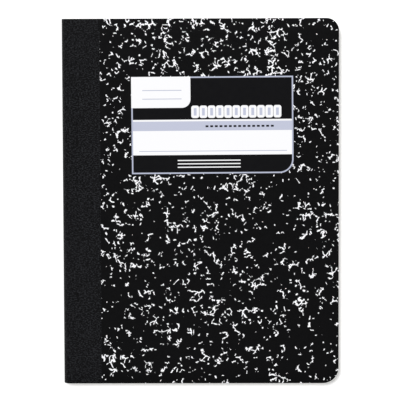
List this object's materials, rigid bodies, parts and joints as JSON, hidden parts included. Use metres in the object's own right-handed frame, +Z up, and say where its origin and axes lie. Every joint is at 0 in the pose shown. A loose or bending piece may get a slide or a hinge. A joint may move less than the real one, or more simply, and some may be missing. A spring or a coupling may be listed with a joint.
{
  "type": "composition notebook",
  "caption": "Sewn composition notebook with marbled board covers that open at creases, a cloth-taped round spine and rounded fore-edge corners.",
  "frame": {"origin": "under the middle of the closed book, on the surface that it lies on", "axes": "+X from the spine to the fore edge, +Y from the tail to the head, +Z up out of the front cover"},
  "size_m": [0.187, 0.2476, 0.0104],
  "materials": {
    "pages": "matte",
    "cover_board": "satin",
    "spine_cloth": "matte",
    "thread": "matte"
  },
  "bodies": {
    "text_block": {"page_block": "pages", "cover_spine": "cover_board", "spine_tape": "spine_cloth", "needle_thread": "thread", "bobbin_thread": "thread"},
    "front_cover": {"front_cover": "cover_board", "front_tape": "spine_cloth"},
    "back_cover": {"back_cover": "cover_board", "back_tape": "spine_cloth"}
  },
  "joints": [
    {"name": "front_cover_hinge", "type": "hinge", "parent": "text_block", "child": "front_cover", "pos_m": [-0.08335, 0, 0.01065], "axis": [0, -1, 0], "range_deg": [0, 178]},
    {"name": "back_cover_hinge", "type": "hinge", "parent": "text_block", "child": "back_cover", "pos_m": [-0.08335, 0, -0.00025], "axis": [0, 1, 0], "range_deg": [0, 178]}
  ]
}
